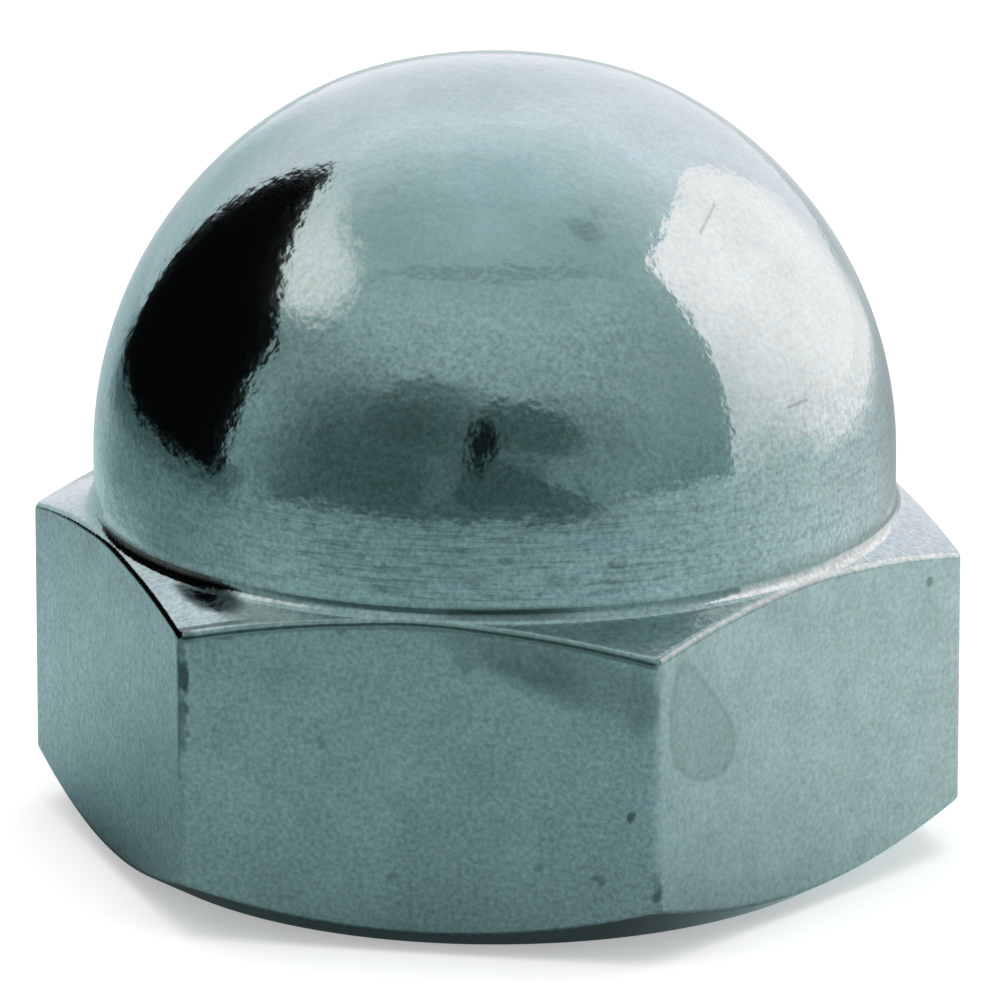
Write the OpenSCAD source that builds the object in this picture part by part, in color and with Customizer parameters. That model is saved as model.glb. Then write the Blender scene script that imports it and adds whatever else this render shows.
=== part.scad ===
// Domed cap nut, turned in one piece from hexagon bar, then drilled and tapped from below.
// It stands on its bearing face, which is Z = 0, and +Z runs up the thread's axis to the crown.
// Two corners of the hexagon lie on the X axis. Lengths are in millimetres, angles in degrees.

/* [Hexagon] */
// Width across two opposite flats, which is the spanner's size
across_flats = 19; // [18.8:0.1:24]
// Height of the hexagon, from the bearing face to the foot of the dome
hex_h = 7.95; // [6:0.05:8.8]
// Depth by which each sharp corner of the hexagon is turned off
corner_cut = 0.05; // [0.02:0.01:0.6]
// Slope of the upper chamfer, from the horizontal
top_slope = 23; // [12:1:35]
// Diameter of the flat bearing face
bearing_d = 17.3; // [15:0.1:18.6]
// Slope of the lower chamfer, from the horizontal
bottom_slope = 30; // [15:1:40]

/* [Dome] */
// Diameter of the dome and of the short wall under it
dome_d = 18.6; // [17:0.1:18.8]
// Height of the whole nut, from the bearing face to the crown
nut_h = 18.35; // [17.55:0.1:21.95]
// Depth by which the crown is lower than a full hemisphere
crown_drop = 0.15; // [0.05:0.05:0.3]
// Radius of the blunter crown
crown_r = 11; // [10.5:0.5:14]
// Radius of the fillet between the dome's wall and the upper chamfer
foot_r = 0.4; // [0.1:0.05:0.9]

/* [Threaded bore] */
// Nominal diameter of the thread
thread_d = 12; // [8:0.5:14]
// Pitch of the thread
thread_pitch = 1.75; // [1:0.25:2.5]
// Depth of the bore at its full diameter, from the bearing face
bore_depth = 13; // [9:0.25:14]
// Angle of the drill's point, which shapes the blind end
drill_angle = 118; // [90:1:140]
// Width by which the countersink at the mouth clears the thread
mouth_extra = 0.6; // [0.2:0.1:1.6]
// Angle of the countersink, from side to side
mouth_angle = 120; // [90:1:140]

/* [Hidden] */

steel = [0.56, 0.63, 0.63];
$fn = 96;
// How far a cut runs past the face that it opens
past = 1;

flat_r = across_flats / 2;
sharp_r = flat_r / cos(30);
corner_r = sharp_r - corner_cut;
bearing_r = bearing_d / 2;
dome_r = dome_d / 2;
dome_z = nut_h + crown_drop - dome_r;

// The turned blank is wider than the bar, so that both chamfers run out through its corners
blank_r = corner_r + past;
low_edge_z = (blank_r - bearing_r) * tan(bottom_slope);
high_edge_z = hex_h - (blank_r - dome_r) * tan(top_slope);

// The fillet reaches this far along the wall and the chamfer from where they would meet.
// Its circle bites a little into both, so that it crosses them in clean edges.
foot_bite = 0.002;
foot_reach = foot_r / tan((90 + top_slope) / 2);
foot_centre = [dome_r + foot_r, hex_h + foot_reach];

// The crest of a metric inside thread lies 5/8 of the sharp profile's height in from the nominal
thread_height = thread_pitch * cos(30);
bore_r = thread_d / 2 - 5 / 8 * thread_height;
mouth_r = (thread_d + mouth_extra) / 2;
mouth_depth = (mouth_r - bore_r) / tan(mouth_angle / 2);
point_h = bore_r / tan(drill_angle / 2);

// Half of the nut's section, as the lathe leaves it before the bore
module turned_outline() {
    polygon([[0, 0], [bearing_r, 0], [blank_r, low_edge_z], [blank_r, high_edge_z],
             [dome_r, hex_h], [dome_r, dome_z], [0, dome_z]]);
    intersection() {
        translate([0, dome_z]) circle(r = dome_r);
        translate([0, dome_z]) square([dome_r + past, dome_r + past]);
        translate([0, nut_h - crown_r]) circle(r = crown_r);
    }
    // The fillet at the foot of the dome
    difference() {
        polygon([[dome_r - foot_r, hex_h - foot_r],
                 [dome_r + foot_reach * cos(top_slope), hex_h - foot_reach * sin(top_slope)],
                 foot_centre,
                 [dome_r, hex_h + foot_reach]]);
        translate(foot_centre) circle(r = foot_r + foot_bite);
    }
}

// The bar that the nut is turned from: a hexagon with its sharp corners turned off
module bar_outline() {
    intersection() {
        circle(r = sharp_r, $fn = 6);
        circle(r = corner_r);
    }
}

module blank() {
    intersection() {
        rotate_extrude() turned_outline();
        linear_extrude(height = nut_h + past) bar_outline();
    }
}

// The blind bore at the thread's crest diameter, with its countersunk mouth and drilled end
module bore() {
    translate([0, 0, -past]) cylinder(r = bore_r, h = bore_depth + past);
    translate([0, 0, bore_depth]) cylinder(r1 = bore_r, r2 = 0, h = point_h);
    widen = past * tan(mouth_angle / 2);
    translate([0, 0, -past]) cylinder(r1 = mouth_r + widen, r2 = bore_r, h = mouth_depth + past);
}

module cap_nut() {
    color(steel) difference() {
        blank();
        bore();
    }
}

cap_nut();
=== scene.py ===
import math

import bmesh
import bpy
from mathutils import Matrix, Vector


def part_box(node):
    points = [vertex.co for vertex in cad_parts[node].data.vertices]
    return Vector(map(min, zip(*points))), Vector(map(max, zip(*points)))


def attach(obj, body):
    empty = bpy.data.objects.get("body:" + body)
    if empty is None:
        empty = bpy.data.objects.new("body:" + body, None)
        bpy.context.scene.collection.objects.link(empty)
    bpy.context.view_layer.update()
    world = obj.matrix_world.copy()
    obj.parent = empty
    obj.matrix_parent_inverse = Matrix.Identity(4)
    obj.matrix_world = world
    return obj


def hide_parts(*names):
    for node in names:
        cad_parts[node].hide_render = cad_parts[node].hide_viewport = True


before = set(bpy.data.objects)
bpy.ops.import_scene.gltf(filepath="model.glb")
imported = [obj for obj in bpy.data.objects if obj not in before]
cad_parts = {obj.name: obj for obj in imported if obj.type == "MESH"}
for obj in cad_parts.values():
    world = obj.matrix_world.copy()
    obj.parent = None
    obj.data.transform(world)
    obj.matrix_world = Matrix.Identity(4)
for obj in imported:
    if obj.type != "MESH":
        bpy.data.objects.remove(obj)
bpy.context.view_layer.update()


# The camera
# It stands far off with a long lens, which shows near and far corners nearly as large, a little to
# the right of the front flat. It looks down on the nut by some 17 degrees.
mm = 0.001
camera_turn = math.radians(10.485)
camera_rise = math.radians(16.816)
camera_distance = 277.74 * mm
aim_height = 8.55 * mm
aim_right = 0.1213 * mm
aim_down = 0.588 * mm
sensor_width = 36
focal_length = 431.26
nearest_seen = 10 * mm
farthest_seen = 5

forward = Vector((-math.sin(camera_turn) * math.cos(camera_rise),
                  math.cos(camera_turn) * math.cos(camera_rise),
                  -math.sin(camera_rise)))
rightward = Vector((math.cos(camera_turn), math.sin(camera_turn), 0))
upward = rightward.cross(forward)

lens = bpy.data.cameras.new("long_lens")
lens.sensor_width = sensor_width
lens.lens = focal_length
lens.clip_start = nearest_seen
lens.clip_end = farthest_seen
camera = bpy.data.objects.new("camera", lens)
camera.location = (Vector((0, 0, aim_height)) + rightward * aim_right - upward * aim_down
                   - forward * camera_distance)
camera.rotation_euler = forward.to_track_quat("-Z", "Y").to_euler()
bpy.context.scene.collection.objects.link(camera)
bpy.context.scene.camera = camera
bpy.context.scene.view_settings.view_transform = "Standard"


# The white floor that the nut stands on
# It is pale and matt and runs out to white, under one wide soft lamp. The lamp is left out of the
# metal's reflections, which the walls and cards of the next section give.
floor_size = 3.0
floor_colour = (0.9, 0.9, 0.9, 1)
floor_glow = 0.36
lamp_size = 0.5
lamp_height = 0.45
lamp_watts = 1.0
fill_level = 0.64


class Wire:
    """One value in a node tree: a sum on it adds a Math node, and add() puts in any other node."""

    def __init__(self, tree, socket=None):
        self.tree = tree
        self.socket = socket

    def add(self, kind, settings, inputs, output=0):
        node = self.tree.nodes.new(kind)
        for name, value in settings.items():
            if name == "stops":
                for _ in value[2:]:
                    node.color_ramp.elements.new(1)
                for stop, (place, colour) in zip(node.color_ramp.elements, value):
                    stop.position = place
                    stop.color = (*colour, 1)
            else:
                setattr(node, name, value)
        for name, value in inputs.items():
            if isinstance(value, Wire):
                self.tree.links.new(value.socket, node.inputs[name])
            else:
                node.inputs[name].default_value = value
        return Wire(self.tree, node.outputs[output])

    def maths(self, operation, *values):
        return self.add("ShaderNodeMath", {"operation": operation}, dict(enumerate(values)))

    def __add__(self, other):
        return self.maths("ADD", self, other)

    def __radd__(self, other):
        return self.maths("ADD", other, self)

    def __sub__(self, other):
        return self.maths("SUBTRACT", self, other)

    def __rsub__(self, other):
        return self.maths("SUBTRACT", other, self)

    def __mul__(self, other):
        return self.maths("MULTIPLY", self, other)

    def __rmul__(self, other):
        return self.maths("MULTIPLY", other, self)

    def __truediv__(self, other):
        return self.maths("DIVIDE", self, other)

    def __pow__(self, other):
        return self.maths("POWER", self, other)

    def __abs__(self):
        return self.maths("ABSOLUTE", self)

    def larger(self, other):
        return self.maths("MAXIMUM", self, other)

    def smaller(self, other):
        return self.maths("MINIMUM", self, other)

    def rise(self, low, high):
        """0 below low, 1 above high, and an easy slope between them."""
        return self.add("ShaderNodeMapRange", {"interpolation_type": "SMOOTHSTEP"},
                        {"Value": self, "From Min": low, "From Max": high})

    def fall(self, low, high):
        """1 below low, 0 above high, and the same slope between them."""
        return 1 - self.rise(low, high)

    def parts(self):
        """The three numbers of a vector."""
        return [self.add("ShaderNodeSeparateXYZ", {}, {0: self}, output=k) for k in range(3)]

    def ramp(self, stops):
        """The colours of some stops, one after another, as this value goes from 0 to 1."""
        return self.add("ShaderNodeValToRGB", {"stops": stops}, {"Fac": self})

    def blend(self, before, after):
        """One colour turning into another as this value goes from 0 to 1."""
        return self.add("ShaderNodeMix", {"data_type": "RGBA"}, {0: self, 6: before, 7: after}, output=2)


def new_tree(owner):
    """An empty node tree on a material or a world, and its output node."""
    owner.use_nodes = True
    tree = owner.node_tree
    tree.nodes.clear()
    kind = "ShaderNodeOutputWorld" if isinstance(owner, bpy.types.World) else "ShaderNodeOutputMaterial"
    return Wire(tree), tree.nodes.new(kind)


def finish_tree(wire, output, shader):
    wire.tree.links.new(shader.socket, output.inputs["Surface"])


def object_from(name, shape, material):
    """A finished mesh as an object at the origin."""
    mesh = bpy.data.meshes.new(name)
    shape.to_mesh(mesh)
    shape.free()
    mesh.materials.append(material)
    made = bpy.data.objects.new(name, mesh)
    bpy.context.scene.collection.objects.link(made)
    return made


def seen_by_eye_or_mirror(start):
    """1 for camera rays and for rays that metal or glass sends on."""
    path = [start.add("ShaderNodeLightPath", {}, {}, output=name)
            for name in ("Is Camera Ray", "Is Glossy Ray", "Is Transmission Ray")]
    return path[0].larger(path[1]).larger(path[2])


backdrop = bpy.data.worlds.new("white_backdrop")
bpy.context.scene.world = backdrop
start, output = new_tree(backdrop)
white_or_fill = seen_by_eye_or_mirror(start).blend((fill_level, fill_level, fill_level, 1), (1, 1, 1, 1))
finish_tree(start, output, start.add("ShaderNodeBackground", {}, {"Color": white_or_fill}))

# The floor's glow shows to the eye but lights nothing, so no light samples are aimed at it.
floor_paint = bpy.data.materials.new("pale_floor")
floor_paint.cycles.emission_sampling = "NONE"
start, output = new_tree(floor_paint)
matt = start.add("ShaderNodeBsdfDiffuse", {}, {"Color": floor_colour})
glow_colour = seen_by_eye_or_mirror(start).blend((0, 0, 0, 1), (floor_glow, floor_glow, floor_glow, 1))
glow = start.add("ShaderNodeEmission", {}, {"Color": glow_colour})
finish_tree(start, output, start.add("ShaderNodeAddShader", {}, {0: matt, 1: glow}))

shape = bmesh.new()
bmesh.ops.create_grid(shape, x_segments=1, y_segments=1, size=floor_size)
floor = object_from("floor", shape, floor_paint)
floor.visible_glossy = False

lamp_light = bpy.data.lights.new("wide_lamp", "AREA")
lamp_light.shape = "SQUARE"
lamp_light.size = lamp_size
lamp_light.energy = lamp_watts
lamp = bpy.data.objects.new("wide_lamp", lamp_light)
lamp.location = (0, 0, lamp_height)
lamp.visible_glossy = False
bpy.context.scene.collection.objects.link(lamp)


# The studio that the metal shows
# Bright metal takes its looks from what stands round it: grey walls, a bright backdrop behind, a
# softbox to the right, a black window to the left and a grey table. Only the metal sees them.
mirror_height = 9.2 * mm
wall_distance = 1.6
card_distance = 0.5
front_stops = [(0.0, (0.21, 0.32, 0.32)), (0.33, (0.33, 0.44, 0.44)), (0.58, (0.42, 0.55, 0.55)),
               (0.73, (0.40, 0.52, 0.52)), (0.84, (0.46, 0.60, 0.61)), (1.0, (0.50, 0.64, 0.66))]
back_stops = [(0.0, (1.08, 1.06, 1.12)), (0.33, (1.10, 1.07, 1.14)), (0.54, (1.08, 1.10, 1.16)),
              (0.58, (0.94, 1.00, 1.05)), (0.68, (0.85, 0.93, 0.98)), (0.84, (0.64, 0.77, 0.80)),
              (1.0, (0.50, 0.64, 0.66))]
left_back_shade = (0.55, 0.68, 0.70, 1)
reflector_colour = (0.98, 0.98, 0.96, 1)
seam_colour = (0.24, 0.34, 0.34, 1)
dark_end_colour = (0.045, 0.085, 0.085, 1)
lit_gap_colour = (0.27, 0.38, 0.38, 1)
lens_colour = (0.004, 0.008, 0.008, 1)
softbox_dim = (0.76, 0.79, 0.80, 1)
softbox_bright = (1.52, 1.34, 1.34, 1)
softbox_low = (0.62, 0.70, 0.70, 1)
window_colour = (0.002, 0.002, 0.002, 1)


def everything(shape):
    return shape.verts[:] + shape.edges[:] + shape.faces[:]


def only_mirrored(card):
    """Keeps a wall or card out of the picture and off the floor, but in the metal's reflections."""
    card.visible_camera = False
    card.visible_diffuse = False
    card.visible_shadow = False


def glowing(name):
    """A paint that glows by itself, with the direction in degrees that each of its points lies in.
    Only mirrored rays see it, so no light samples are aimed at it."""
    paint = bpy.data.materials.new(name)
    paint.cycles.emission_sampling = "NONE"
    start, output = new_tree(paint)
    east, north, up = start.add("ShaderNodeTexCoord", {}, {}, output="Object").parts()
    turn = east.maths("ARCTAN2", east, 0 - north) * (180 / math.pi)
    from_nut = (east * east + north * north) ** 0.5
    rise = up.maths("ARCTAN2", up - mirror_height, from_nut) * (180 / math.pi)
    return paint, start, output, turn, rise, from_nut


def finish_glowing(start, output, colour):
    finish_tree(start, output, start.add("ShaderNodeEmission", {}, {"Color": colour}))


def blot(across, high, middle, half_size, soft):
    """1 inside an oval and 0 outside it, on a face of the nut or among directions in degrees."""
    off = ((across - middle[0]) / half_size[0]) ** 2 + ((high - middle[1]) / half_size[1]) ** 2
    return off.fall(1 - soft, 1 + soft)


walls_paint, start, output, turn, rise = glowing("studio_walls")[:5]
upwards = rise / 90
walls = abs(turn).rise(75, 160).blend(upwards.ramp(front_stops), upwards.ramp(back_stops))

# Behind on the left the wall is dimmer, and a pale reflector stands on the left. Then come a seam
# that runs over the front, and the unlit end of the room in front, with the camera's lens in it.
walls = blot(turn, rise, (-140, -4), (16, 26), 0.7).blend(walls, left_back_shade)
walls = (blot(turn, rise, (-155, 30), (24, 18), 0.9) * 0.3).blend(walls, left_back_shade)
walls = blot(turn, rise, (-79, 46), (23, 10), 0.8).blend(walls, reflector_colour)
walls = (blot(turn, rise, (-102, 48), (16, 7), 0.8) * 0.7).blend(walls, reflector_colour)
seam = blot(turn, rise, (12, 50), (68, 18.5), 0.07) * (1 - blot(turn, rise, (12, 50), (66, 16), 0.07))
walls = (seam * rise.rise(45, 60) * 0.8).blend(walls, seam_colour)
walls = (blot(turn, rise - turn * 0.1, (-22, 12), (34, 20), 0.95) * 0.86).blend(walls, dark_end_colour)
walls = (blot(turn, rise, (-52, 28), (26, 10), 0.95) * 0.26).blend(walls, dark_end_colour)
walls = (blot(turn, rise, (-8, 26), (18, 9), 0.95) * 0.55).blend(walls, dark_end_colour)
walls = (blot(turn, rise, (30, 17), (24, 13), 0.98) * 0.3).blend(walls, dark_end_colour)
walls = (blot(turn, rise + turn * 0.2, (20, 25), (16, 8), 0.7) * 0.8).blend(walls, dark_end_colour)
walls = (blot(turn, rise, (13.5, 3), (15, 9.5), 0.45) * 0.85).blend(walls, dark_end_colour)
walls = (blot(turn, rise, (31, 0), (5.5, 4), 0.5) * 0.6).blend(walls, dark_end_colour)
walls = (blot(turn, rise + turn * 0.5, (-6.5, 4), (4.5, 7), 0.95) * 0.15).blend(walls, lit_gap_colour)
walls = blot(turn, rise - turn * 0.5, (7, 14), (4.0, 6.6), 0.8).blend(walls, lens_colour)
walls = (blot(turn, rise, (5.5, 12), (2.2, 4), 0.7) * 0.6).blend(walls, lens_colour)
finish_glowing(start, output, walls)

shape = bmesh.new()
bmesh.ops.create_icosphere(shape, subdivisions=4, radius=wall_distance)
bmesh.ops.bisect_plane(shape, geom=everything(shape), plane_co=(0, 0, 0), plane_no=(0, 0, -1),
                       clear_outer=True)
only_mirrored(object_from("studio_walls", shape, walls_paint))


def stand_card(name, paint, facing, left, right, bottom, top, trims=()):
    """An upright card: its sides and edges are shares of its distance, seen from the nut. Each trim
    is a point on a straight cut and the side of it that falls off."""
    shape = bmesh.new()
    bmesh.ops.create_grid(shape, x_segments=1, y_segments=1, size=0.5)
    bmesh.ops.scale(shape, vec=(right - left, top - bottom, 1), verts=shape.verts)
    bmesh.ops.translate(shape, vec=((left + right) / 2, (bottom + top) / 2, 0), verts=shape.verts)
    for (across, high), (side, rising) in trims:
        bmesh.ops.bisect_plane(shape, geom=everything(shape), plane_co=(across, high, 0),
                               plane_no=(side, rising, 0), clear_outer=True)
    bmesh.ops.scale(shape, vec=(card_distance, card_distance, 1), verts=shape.verts)
    bmesh.ops.rotate(shape, matrix=Matrix.Rotation(math.radians(90), 3, "X"), verts=shape.verts)
    bmesh.ops.translate(shape, vec=(0, -card_distance, mirror_height), verts=shape.verts)
    bmesh.ops.rotate(shape, matrix=Matrix.Rotation(math.radians(facing), 3, "Z"), verts=shape.verts)
    only_mirrored(object_from(name, shape, paint))


softbox_paint, start, output, turn, rise = glowing("softbox")[:5]
softbox = ((turn - 85) + rise).rise(0, 62).blend(softbox_dim, softbox_bright)
softbox = turn.rise(152, 166).blend(softbox, back_stops[0][1] + (1,))
softbox = (rise.fall(-1, 9) * turn.fall(95, 120) * 0.6).blend(softbox, softbox_low)
finish_glowing(start, output, softbox)
stand_card("softbox", softbox_paint, facing=96.5, left=-0.26, right=2.6, bottom=-0.03, top=1.3,
           trims=[((-0.19, 0.5), (-1, 0.14)), ((1.32, 1.25), (1.09, 1))])

window_paint, start, output = glowing("black_window")[:3]
finish_glowing(start, output, window_colour)
stand_card("black_window", window_paint, facing=-121, left=-0.26, right=1.4, bottom=-0.05, top=1.2,
           trims=[((-0.188, 0.1), (-1, 0.13)), ((-0.1, 1.12), (0.14, 1)), ((1.22, 0.4), (1, -0.2))])

# The table's colours run round the nut, from the front at 0 to the back at 1. It is dark far off in
# front and under the window, bright under the softbox, and shaded close to the nut.
table_stops = [(0.0, (0.24, 0.35, 0.36)), (0.07, (0.26, 0.37, 0.38)), (0.22, (0.31, 0.42, 0.44)),
               (0.39, (0.43, 0.56, 0.56)), (0.60, (0.68, 0.77, 0.77)), (0.77, (0.68, 0.74, 0.76)),
               (0.92, (0.58, 0.64, 0.66)), (1.0, (0.74, 0.78, 0.80))]
table_left_stops = [(0.0, (0.24, 0.35, 0.36)), (0.09, (0.23, 0.34, 0.34)), (0.26, (0.29, 0.41, 0.41)),
                    (0.45, (0.17, 0.27, 0.28)), (0.63, (0.20, 0.30, 0.31)), (0.74, (0.42, 0.56, 0.57)),
                    (0.82, (0.50, 0.62, 0.65)), (0.90, (0.62, 0.70, 0.72)), (1.0, (0.75, 0.78, 0.80))]
near_left_colour = (0.50, 0.645, 0.66, 1)
shine_colour = (1.30, 1.20, 1.20, 1)
far_colour = (0.08, 0.14, 0.14, 1)
table_paint, start, output, turn, rise, from_nut = glowing("grey_table")
table = turn.rise(-1, 1).blend((turn / -180).ramp(table_left_stops), (turn / 180).ramp(table_stops))
far_front = from_nut.rise(55 * mm, 210 * mm) * turn.rise(-64, -50) * turn.fall(34, 50)
far_left = from_nut.rise(45 * mm, 95 * mm) * turn.rise(-140, -124) * turn.fall(-72, -58)
table = far_front.larger(far_left).blend(table, far_colour)
under_window = from_nut.rise(115 * mm, 160 * mm) * turn.rise(-134, -131) * turn.fall(-75, -71)
table = under_window.blend(table, window_colour)
under_softbox = from_nut.rise(78 * mm, 120 * mm) * turn.rise(106, 130) * turn.fall(158, 168)
table = under_softbox.blend(table, shine_colour)
near = from_nut.fall(26 * mm, 46 * mm)
near_left = from_nut.fall(24 * mm, 40 * mm) * turn.rise(-175, -150) * turn.fall(-112, -85)
table = near_left.blend(table, near_left_colour)
shaded = from_nut.fall(9.2 * mm, 11.5 * mm) * turn.fall(25, 70) * 0.8
right_side = turn.rise(45, 80)
left_side = turn.fall(-80, -50)
beside_nut = from_nut.fall(9 * mm, 22 * mm) * (0.5 - right_side * 0.34) * (1 - left_side)
beside_nut = beside_nut + from_nut.fall(10 * mm, 13 * mm) * left_side * 0.66
lit = (1 - beside_nut) * (1 + near * (0.22 - right_side * 0.14 - left_side * 0.1)) * (1 - shaded)
lit = lit * (1 - from_nut.fall(40 * mm, 90 * mm) * turn.rise(130, 160) * 0.3)
table = start.add("ShaderNodeVectorMath", {"operation": "SCALE"}, {0: table, "Scale": lit})
finish_glowing(start, output, table)
shape = bmesh.new()
bmesh.ops.create_grid(shape, x_segments=1, y_segments=1, size=wall_distance)
bmesh.ops.translate(shape, vec=(0, 0, -0.01 * mm), verts=shape.verts)
only_mirrored(object_from("grey_table", shape, table_paint))


# The turned blank
# It is turned from one length of hexagon bar: a lathe cuts the dome, the fillet at its foot and both
# chamfers, which leave the bar's six flats between them. Tumbling has rounded its edges a little.
# The finished piece stays a hair inside the solid that it stands for.
nut_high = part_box("cap_nut")[1]
hair = 0.001
corner_r = nut_high.x / mm - hair
flat_r = nut_high.y / mm - hair
nut_h = nut_high.z / mm - hair
hex_h = 7.95
dome_r = 9.3
dome_z = 9.2
crown_r = 11.0
bearing_r = 8.65
top_angle = math.radians(23)
bottom_slope = math.tan(math.radians(30))
foot_round = 0.4
crown_blend = 0.04
edge_round = 0.2
low_edge_round = 0.15
bearing_round = 0.2
corner_angle = math.radians(30)
sharp_r = flat_r / math.cos(corner_angle)
corner_round = (sharp_r - corner_r) / (1 / math.cos(corner_angle) - 1)
columns = 336
corner_crowding = 0.9
side_share = 0.95
rim_width = 1
bearing_steps = 3
low_edge_steps = 5
edge_steps = 7
neck_steps = 20
dome_steps = 60
low_chamfer_rows = (0.06, 0.5, 0.94)
flat_rows = (0.01, 0.2, 0.4, 0.6, 0.8, 0.99)
wall_rows = (0.1, 0.5, 1.0)

right_angle = math.radians(90)
square_to_chamfer = Vector((math.sin(top_angle), math.cos(top_angle)))
fillet_middle = Vector((dome_r + foot_round, hex_h + foot_round / math.tan((right_angle + top_angle) / 2)))
fillet_low = fillet_middle - square_to_chamfer * foot_round


def rounded(before, corner, after, radius, steps):
    """The arc that rounds a corner of an outline, but never takes more than its sides have."""
    back = (before - corner).normalized()
    onward = (after - corner).normalized()
    half = back.angle(onward) / 2
    radius = min(radius, side_share * (before - corner).length * math.tan(half),
                 side_share * (after - corner).length * math.tan(half))
    middle = corner + (back + onward).normalized() * radius / math.sin(half)
    first = corner + back * radius / math.tan(half) - middle
    last = corner + onward * radius / math.tan(half) - middle
    return [middle + first.slerp(last, step / steps) * radius for step in range(steps + 1)]


def bar_radius(turn):
    """How far the bar reaches from the axis in one direction, with its corners rounded."""
    off_flat = (turn % (2 * corner_angle)) - corner_angle
    straight_half = (flat_r - corner_round) * math.tan(corner_angle)
    if abs(math.tan(off_flat)) * flat_r <= straight_half:
        return flat_r / math.cos(off_flat)
    off_corner = corner_angle - abs(off_flat)
    middle = (flat_r - corner_round) / math.cos(corner_angle)
    return (middle * math.cos(off_corner)
            + math.sqrt(corner_round ** 2 - (middle * math.sin(off_corner)) ** 2))


def between(first, last, shares):
    return [first.lerp(last, share) for share in shares]


def on_circle(middle, radius, turn):
    return middle + Vector((math.cos(turn), math.sin(turn))) * radius


def upper_edge(reach):
    """The rounded edge over a flat, and the run of chamfer and fillet from it to the dome's wall."""
    middle = Vector((reach - edge_round, 0))
    middle.y = hex_h - (middle.x - dome_r) * math.tan(top_angle) - edge_round / math.cos(top_angle)
    end = right_angle - top_angle
    chamfer = fillet_low.x < middle.x + square_to_chamfer.x * edge_round
    if not chamfer:
        across = fillet_middle.x - middle.x
        climb = math.sqrt((foot_round + edge_round) ** 2 - across ** 2)
        middle.y = fillet_middle.y - climb
        end = math.atan2(climb, across)
    edge = [on_circle(middle, edge_round, end * step / edge_steps) for step in range(edge_steps + 1)]
    straight = (fillet_low - edge[-1]).length if chamfer else 0
    whole = straight + foot_round * end
    for step in range(1, neck_steps + 1):
        gone = whole * step / neck_steps
        if gone < straight:
            edge.append(edge[edge_steps].lerp(fillet_low, gone / straight))
        else:
            turn = math.radians(180) + end - (gone - straight) / foot_round
            edge.append(on_circle(fillet_middle, foot_round, turn))
    return edge


def dome_reach(climb):
    """How far the dome reaches from its middle, where the blunter crown takes over softly."""
    drop = nut_h - crown_r - dome_z
    crown = drop * math.sin(climb) + math.sqrt(crown_r ** 2 - (drop * math.cos(climb)) ** 2)
    overlap = max(crown_blend - abs(dome_r - crown), 0) / crown_blend
    return min(dome_r, crown) - overlap ** 2 * crown_blend / 4


def half_section(turn):
    """The nut's outline in one direction from the axis, from its bearing face up to its crown."""
    reach = bar_radius(turn)
    face = Vector((bearing_r - rim_width, 0))
    foot = Vector((bearing_r, 0))
    low_edge = Vector((reach, (reach - bearing_r) * bottom_slope))
    wall_top = Vector((dome_r, dome_z))
    upper = upper_edge(reach)
    foot_arc = rounded(face, foot, low_edge, bearing_round, bearing_steps)
    low_arc = rounded(foot_arc[-1], low_edge, upper[0], low_edge_round, low_edge_steps)
    outline = [face] + foot_arc
    outline += between(foot_arc[-1], low_arc[0], low_chamfer_rows) + low_arc
    outline += between(low_arc[-1], upper[0], flat_rows) + upper
    outline += between(upper[-1], wall_top, wall_rows)
    for step in range(1, dome_steps):
        climb = right_angle * step / dome_steps
        outline.append(on_circle(Vector((0, dome_z)), dome_reach(climb), climb))
    return outline


def turn_of(vert):
    return math.atan2(vert.co.y, vert.co.x)


level_gap = 1e-4


def open_edges(shape, height=None):
    """The edges of a mesh that only one face uses, all of them or those at one height."""
    found = [edge for edge in shape.edges if len(edge.link_faces) < 2]
    if height is not None:
        found = [edge for edge in found if all(abs(vert.co.z - height) < level_gap for vert in edge.verts)]
    return found


# Each ring is drawn out of the last one and set to the outline in its own direction. The columns
# of the rings crowd together at the bar's corners.
shape = bmesh.new()
ring = bmesh.ops.create_circle(shape, segments=columns, radius=bearing_r)["verts"]
for vert in ring:
    turn = turn_of(vert)
    turn -= corner_crowding * math.sin(6 * turn) / 6
    vert.co = Vector((math.cos(turn), math.sin(turn), 0))
sections = {}
edges = shape.edges[:]
for level in range(len(half_section(0))):
    if level > 0:
        grown = bmesh.ops.extrude_edge_only(shape, edges=edges)["geom"]
        ring = [part for part in grown if isinstance(part, bmesh.types.BMVert)]
        edges = [part for part in grown if isinstance(part, bmesh.types.BMEdge)]
    for vert in ring:
        turn = turn_of(vert)
        key = round(turn, 4)
        if key not in sections:
            sections[key] = half_section(turn)
        out, up = sections[key][level]
        vert.co = Vector((out * math.cos(turn), out * math.sin(turn), up))
grown = bmesh.ops.extrude_edge_only(shape, edges=edges)["geom"]
bmesh.ops.pointmerge(shape, verts=[part for part in grown if isinstance(part, bmesh.types.BMVert)],
                     merge_co=(0, 0, nut_h))


# The tapped bore
# It is drilled blind from below, countersunk at the mouth and tapped M12 x 1.75, right-hand. The
# tap runs out before the end of the drilled hole, whose end keeps the drill's point.
pitch = 1.75
thread_r = 6.0
crest_r = thread_r - 5 / 8 * pitch * math.cos(math.radians(30))
mouth_r = 6.3
mouth_slope = math.tan(math.radians(120) / 2)
drill_angle = math.radians(118)
bore_depth = 13
tap_depth = 11.2
run_out = 1.3
point_h = crest_r / math.tan(drill_angle / 2)
tap_columns = 96
tap_start = -2 * pitch
tap_turns = 11
tooth_rows = (0.25, 0.5, 0.75, 1.0)
merge_gap = 0.001

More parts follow.
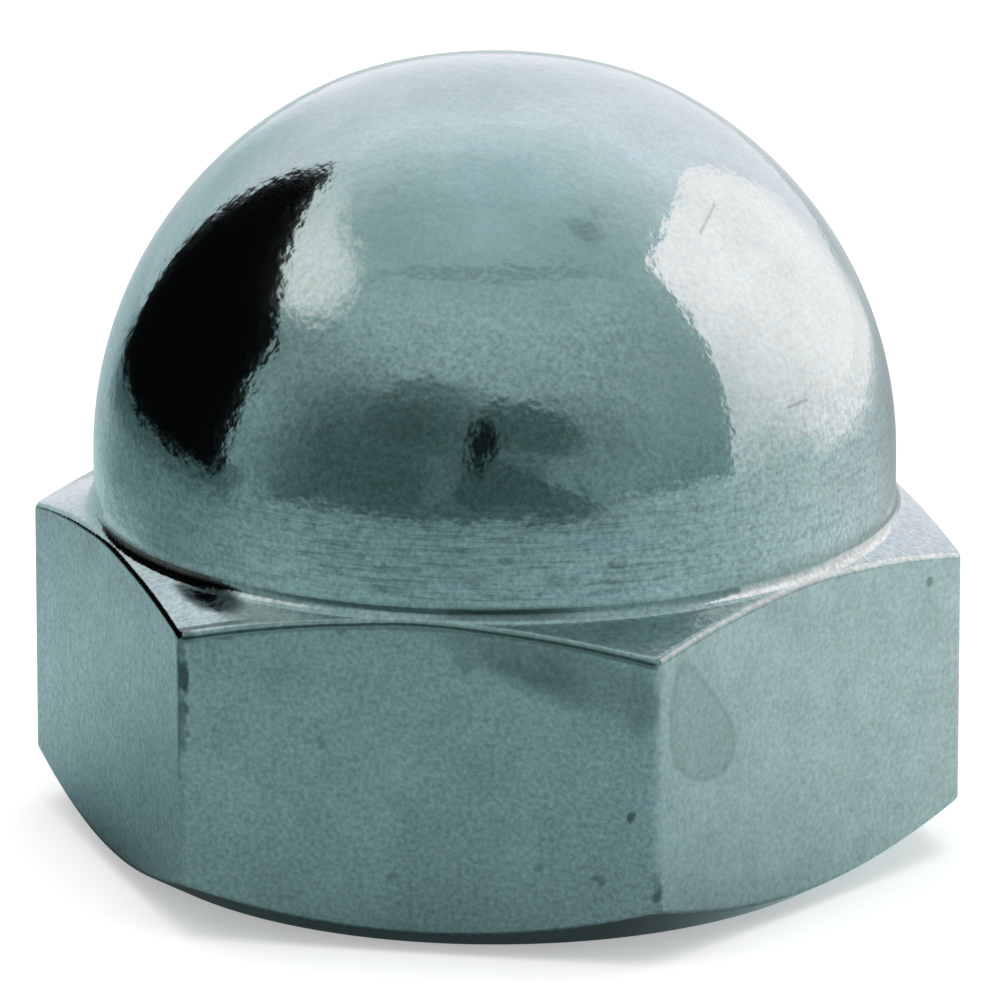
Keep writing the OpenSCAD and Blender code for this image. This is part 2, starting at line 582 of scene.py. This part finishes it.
tooth = [Vector((crest_r, -pitch / 8)), Vector((crest_r, pitch / 8)), Vector((thread_r, pitch * 7 / 16)),
         Vector((thread_r, pitch * 9 / 16)), Vector((crest_r, pitch * 7 / 8))]
profile = [tooth[0]]
for first, last in zip(tooth, tooth[1:]):
    profile += between(first, last, tooth_rows)
tap = bmesh.new()
verts = [tap.verts.new((out, 0, tap_start + up)) for out, up in profile]
edges = [tap.edges.new(pair) for pair in zip(verts, verts[1:])]
bmesh.ops.spin(tap, geom=verts + edges, axis=(0, 0, 1), cent=(0, 0, 0), dvec=(0, 0, pitch / tap_columns),
               angle=math.radians(360) * tap_turns, steps=tap_columns * tap_turns)
bmesh.ops.remove_doubles(tap, verts=tap.verts, dist=merge_gap)
for vert in tap.verts:
    out = vert.co.xy.length
    fading = min(max((vert.co.z - tap_depth) / run_out, 0), 1)
    depth = (out - crest_r) * (1 - fading)
    new_out = max(crest_r + depth, mouth_r - vert.co.z * mouth_slope)
    vert.co.x *= new_out / out
    vert.co.y *= new_out / out
bmesh.ops.bisect_plane(tap, geom=everything(tap), plane_co=(0, 0, 0), plane_no=(0, 0, -1), clear_outer=True)
bmesh.ops.bisect_plane(tap, geom=everything(tap), plane_co=(0, 0, bore_depth), plane_no=(0, 0, 1),
                       clear_outer=True)
grown = bmesh.ops.extrude_edge_only(tap, edges=open_edges(tap, bore_depth))["geom"]
bmesh.ops.pointmerge(tap, verts=[part for part in grown if isinstance(part, bmesh.types.BMVert)],
                     merge_co=(0, 0, bore_depth + point_h))
tapped = bpy.data.meshes.new("tapped_bore")
tap.to_mesh(tapped)
tap.free()
shape.from_mesh(tapped)
bpy.data.meshes.remove(tapped)

# The bearing face joins the bore's mouth to the outside, and closes the solid.
bmesh.ops.triangle_fill(shape, edges=open_edges(shape, 0), use_beauty=True)
bmesh.ops.remove_doubles(shape, verts=shape.verts, dist=merge_gap / 2)
bmesh.ops.recalc_face_normals(shape, faces=shape.faces)
sharp_angle = math.radians(24)
for face in shape.faces:
    face.smooth = True
for edge in shape.edges:
    edge.smooth = edge.calc_face_angle(0) < sharp_angle
bmesh.ops.scale(shape, vec=(mm, mm, mm), verts=shape.verts)


# The plating
# It is a thin bright coat over the steel. The turned faces are polished and mirror the room, and
# the flats keep the satin grain of the drawn bar.
warm_plating = (0.52, 0.597, 0.585, 1)
cool_plating = (0.48, 0.603, 0.615, 1)
# The colour of the marks, which the painted shade on the edges, fillet and chamfer uses too
dirt_and_shade_colour = (0.11, 0.155, 0.145, 1)
soot_colour = (0.02, 0.04, 0.04, 1)
dome_roughness = 0.09
flat_roughness = 0.36

plating = bpy.data.materials.new("bright_plating")
start, output = new_tree(plating)
place = start.add("ShaderNodeTexCoord", {}, {}, output="Object")
tilt = start.add("ShaderNodeTexCoord", {}, {}, output="Normal").parts()[2]
east, north, up = [part / mm for part in place.parts()]
to_front = 0 - north
slant = math.sin(math.radians(60))

# How far out a point lies, square to the flat that it is nearest to
to_flat = abs(north).larger(abs(north * 0.5 + east * slant)).larger(abs(north * 0.5 - east * slant))
on_flat = to_flat.rise(dome_r + 0.05, dome_r + 0.1) * abs(tilt).fall(0.02, 0.09)
on_dome = up.rise(hex_h + 0.2, hex_h + 0.5)


def noise(place, scale, detail, roughness):
    """An uneven pattern from 0 to 1, with about as many waves to one unit of place as its scale says."""
    return place.add("ShaderNodeTexNoise", {}, {"Vector": place, "Scale": scale, "Detail": detail,
                                                "Roughness": roughness})


grain = noise(place, scale=8000, detail=3, roughness=0.6)
cloud = noise(place, scale=900, detail=3, roughness=0.6)
peel = noise(place, scale=2800, detail=2, roughness=0.5)
tint = noise(place, scale=7000, detail=2, roughness=0.6)

# The lathe left fine rings round the foot of the dome, broken up by wear and faint higher up.
ring_place = start.add("ShaderNodeCombineXYZ", {}, {0: east * 0.07, 1: north * 0.07, 2: up})
rings = noise(ring_place, scale=11, detail=3, roughness=0.6)
worn_side = to_front.rise(3, 8) * abs(east - 1.0).fall(3.0, 7.0)
ring_depth = on_dome * up.fall(9.8, 11.0) * (0.13 + worn_side * 0.30)
ring_dark = ((0.52 - rings).rise(0.0, 0.26) + (peel - 0.58).rise(0.0, 0.1) * 0.6) * ring_depth
ring_light = ring_depth * 1.3 + on_dome * up.fall(13, 16.5) * 0.12

# A greasy smudge, some pits and spots on the front flat, and a dried drop on the right one. Places
# are in millimetres along the flat and up from the floor.
on_front = on_flat * to_front.rise(flat_r - 0.1, flat_r - 0.05)
along_right = east * 0.5 + north * slant
on_right = on_flat * (east * slant - north * 0.5).rise(flat_r - 0.1, flat_r - 0.05)
jag_across = (peel - 0.5) * 0.5
jag_up = (cloud - 0.5) * 0.6
ragged_across = east + jag_across
ragged_up = up + jag_up
smudge_tilt = east * 0.33
smudge = blot(east, up + smudge_tilt + jag_up, (3.2, 7.98), (2.8, 0.70), 0.7) * 0.46
smudge = smudge.larger(blot(east, up, (5.0, 6.3), (0.32, 0.8), 0.8) * 0.5)
smudge = smudge.larger(blot(ragged_across, up + smudge_tilt + jag_up, (2.5, 7.9), (1.4, 0.5), 0.8) * 0.62)
pit_size = (0.11, 0.12)
pits_and_depths = (((2.80, 2.31), 0.35), ((4.17, 1.94), 0.45), ((-0.55, 1.85), 0.3), ((-2.2, 4.9), 0.25))
spots_sizes_and_depths = (((-4.5, 7.3), (0.28, 0.13), 0.5), ((-1.8, 7.62), (0.14, 0.13), 0.45),
                          ((1.1, 7.0), (0.18, 0.3), 0.3))
pits = blot(ragged_across, ragged_up, (4.90, 3.53), (0.12, 0.13), 0.6) * 0.75
for middle, depth in pits_and_depths:
    pits = pits.larger(blot(ragged_across, ragged_up, middle, pit_size, 0.7) * depth)
for middle, size, depth in spots_sizes_and_depths:
    pits = pits.larger(blot(ragged_across, ragged_up, middle, size, 0.6) * depth)
front_marks = on_front * (smudge * (0.55 + 0.45 * cloud.rise(0.35, 0.6))).larger(pits)

# The drop ran down at a slant: a narrow tail above a round belly, with a darker rim.
drop_place = -3.97
drop_height = 5.0
drop_tail = 2.1
drop_belly = 0.98
drop_waist = 5.2
drop_slant = 0.35
drop_half_width = 1.12
drop_taper = 0.25
drop_lean = along_right + (up - drop_waist) * drop_slant
drop_high = ((up - drop_height) / drop_tail).larger((drop_height - up) / drop_belly)
drop_width = drop_half_width - (up - drop_waist).larger(0) * drop_taper
drop_across = (drop_lean - drop_place) / drop_width
drop_inside = blot(drop_across, drop_high, (0, 0), (1, 1), 0.2)
drop_rim = drop_inside - blot(drop_across, drop_high, (0, 0), (0.88, 0.9), 0.25)
right_marks = on_right * (drop_inside * (0.12 + 0.14 * cloud) + drop_rim * 0.16)
right_marks = right_marks.larger(on_right * blot(along_right, up, (4.28, 6.85), (0.12, 0.13), 0.5) * 0.5)


def band(value, middle, half_width, soft):
    """1 where a value is near its middle and 0 farther off."""
    return blot(value, value, (middle, middle), (half_width, half_width), soft)


# Dirt along the upright edge at the left of the front flat, and low on the one at its right
left_corner = Vector((-sharp_r / 2, -flat_r))
beside_edge = ((east - left_corner.x) ** 2 + (north - left_corner.y) ** 2) ** 0.5
patches = peel.rise(0.38, 0.62) * cloud.rise(0.35, 0.55)
edge_dirt = beside_edge.fall(0.08, 0.14 + 0.10 * patches) * up.fall(7.1, 7.3)
edge_dirt = edge_dirt * (0.26 + 0.35 * band(up, 5.9, 1.9, 0.6)) * (0.7 + 0.3 * patches)
on_edge = to_front.rise(flat_r - 0.16, flat_r - 0.06)
ragged_edge = beside_edge + jag_across * 0.3
for high, half_height, depth in ((6.30, 0.40, 0.8), (5.56, 0.16, 0.65), (4.94, 0.10, 0.4)):
    spot = blot(ragged_edge, up + jag_up * 0.3, (0.10, high), (0.13, half_height), 0.6)
    edge_dirt = edge_dirt.larger(spot * on_edge * depth)
top_dirt = beside_edge.fall(0.15, 0.45) * band(up, 7.35, 0.3, 0.6) * 0.7
right_corner = Vector((sharp_r / 2, -flat_r))
beside_edge = ((east - right_corner.x) ** 2 + (north - right_corner.y) ** 2) ** 0.5
low_dirt = beside_edge.fall(0.07, 0.10 + 0.2 * patches) * band(up, 1.8, 0.6, 0.6)
low_dirt = low_dirt * (0.2 + 0.5 * patches)

# A thin line just under the top edge of the front flat is darkened with painted shade, which
# widens the dark reflection in the rounded edge above it.
out = (east * east + north * north) ** 0.5
under_edge = hex_h - (out - edge_round - dome_r) * math.tan(top_angle) - edge_round / math.cos(top_angle) - up
painted_edge_shade = to_front.rise(flat_r - 0.08, flat_r - 0.03) * under_edge.fall(0.02, 0.10)
painted_edge_shade = painted_edge_shade * (0.35 + 0.3 * east.rise(-3, 4))

# The fillet at the foot of the dome is darker too, most at the front, and at the right it carries
# painted shade where the dome meets the corner.
by_wall = out.fall(dome_r + 0.12, dome_r + 0.2)
foot_line = by_wall * up.rise(hex_h - 0.08, hex_h + 0.04) * up.fall(hex_h + 0.18, hex_h + 0.34)
foot_line = foot_line * (0.14 + 0.62 * band(east, 1.9, 2.0, 0.9)) * (0.6 + 0.8 * cloud)
# Painted shade at the right end of the fillet and the foot of the dome
painted_side_shade = by_wall * up.rise(hex_h - 0.02, hex_h + 0.08) * up.fall(hex_h + 0.25, hex_h + 0.6)
painted_side_shade = painted_side_shade * east.rise(5, 8) * 0.35

# The upper chamfer carries painted shade, deeper over the front but for its left end, standing in
# for the dome mirrored in it. A lump of dirt lies where it meets the dome at the left, and a dark
# rim behind the left end of the front edge.
on_chamfer = (1 - on_flat) * up.fall(hex_h - 0.12, hex_h + 0.02) * up.rise(5, 6)
front_chamfer = on_chamfer * to_front.rise(2, 5)
painted_chamfer_shade = on_chamfer * 0.12 + front_chamfer * 0.26 * east.rise(-5, -4.2)
along_foot = east * 0.852 - north * 0.524
lump = blot(along_foot, out - along_foot * 0.14 + jag_up * 0.3, (-0.08, 9.62), (1.1, 0.38), 0.5)
lump = lump * to_front.rise(2, 5) * up.rise(7.0, 7.3) * up.fall(hex_h + 0.05, hex_h + 0.2)
lump = lump * (1 - on_flat) * (0.55 + cloud * 0.7)
rim_dirt = band(north, -9.27, 0.1, 0.6) * east.fall(-4.6, -3.4) * 0.7
rim_dirt = rim_dirt * on_chamfer
soot = lump.larger(rim_dirt).larger(edge_dirt).larger(top_dirt).larger(low_dirt)

# Three scratches, a worn spot and two specks on the dome
def scratch(first, last, width):
    """1 along a short straight scratch between two points on the surface."""
    run = last - first
    share = (east - first.x) * run.x + (north - first.y) * run.y + (up - first.z) * run.z
    share = (share / run.length_squared).larger(0).smaller(1)
    off = ((east - share * run.x - first.x) ** 2 + (north - share * run.y - first.y) ** 2
           + (up - share * run.z - first.z) ** 2) ** 0.5
    return off.fall(width * 0.4, width)


ends_and_depths = ((Vector((7.61, -4.6, 11.91)), Vector((7.93, -4.01, 11.94)), 0.4),
                   (Vector((5.59, -2.8, 16.08)), Vector((5.45, -3.82, 15.7)), 0.3),
                   (Vector((3.1, -4.86, 16.49)), Vector((3.52, -5.41, 15.89)), 0.15))
scratch_width = 0.06
scratches = 0
for first, last, depth in ends_and_depths:
    scratches = (scratch(first, last, scratch_width) * depth).larger(scratches)
worn = blot(east + jag_across, up + (east - 3.1) * 0.4 + jag_up, (3.1, 16.06), (0.42, 0.16), 0.9)
worn = worn * on_dome * to_front.rise(2, 3) * 0.45
specks = blot(east, up, (-1.36, 9.27), (0.12, 0.1), 0.6).larger(blot(east, up, (1.95, 9.3), (0.2, 0.09), 0.6))
specks = specks * to_front.rise(2, 3) * 0.4
dome_marks = scratches.larger(worn * (0.4 + 0.6 * grain.rise(0.4, 0.6))).larger(ring_dark).larger(specks)

# The real marks, gathered with the painted shade on the edge, the fillet and the chamfer
dirt_and_painted_shade = front_marks.larger(right_marks).larger(dome_marks)
dirt_and_painted_shade = dirt_and_painted_shade.larger(painted_edge_shade).larger(foot_line).larger(painted_side_shade).larger(painted_chamfer_shade)

# The foot and the front of the dome are more speckled than the rest.
dull = to_front.rise(3, 7) * east.fall(3.5, 6.5) * up.fall(13.5, 16)
dull = dull.larger(up.fall(10.5, 13))
speckle = 1 + (grain - 0.5) * (0.4 + dull * (0.9 - on_right * 0.5)) + (cloud - 0.5) * (0.25 + on_flat * 0.2)
speckle = speckle + (rings - 0.5) * ring_light
level = start.add("ShaderNodeCombineColor", {}, {0: speckle, 1: speckle, 2: speckle})
clean = start.add("ShaderNodeMix", {"data_type": "RGBA", "blend_type": "MULTIPLY"},
                  {0: 1.0, 6: tint.rise(0.3, 0.7).blend(warm_plating, cool_plating), 7: level}, output=2)
colour = soot.blend(dirt_and_painted_shade.blend(clean, dirt_and_shade_colour), soot_colour)
roughness = on_flat * (flat_roughness - dome_roughness) + dome_roughness + dirt_and_painted_shade * 0.15

# A grey film dulls the left end of the fillet, so that its upper half shows less black.
dull_film = up.rise(hex_h + 0.04, hex_h + 0.14) * up.fall(hex_h + 0.25, hex_h + 0.45)
dull_film = dull_film * east.fall(-6, -3) * 0.14

# The coat's orange peel is deepest on the dome, and the bar's grain on the flats, in metres.
height = grain * (on_flat * 2e-6 + 1e-6) + peel * (8e-6 - on_flat * 6e-6)
height = height + cloud * on_dome * 1.4e-5
bumped = start.add("ShaderNodeBump", {}, {"Height": height, "Distance": 1.0, "Strength": 1.0})
metal = start.add("ShaderNodeBsdfPrincipled", {}, {"Base Color": colour, "Metallic": 1 - dull_film,
                                                   "Roughness": roughness, "Normal": bumped})
finish_tree(start, output, metal)

nut = object_from("domed_cap_nut", shape, plating)
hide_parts("cap_nut")
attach(nut, "root")
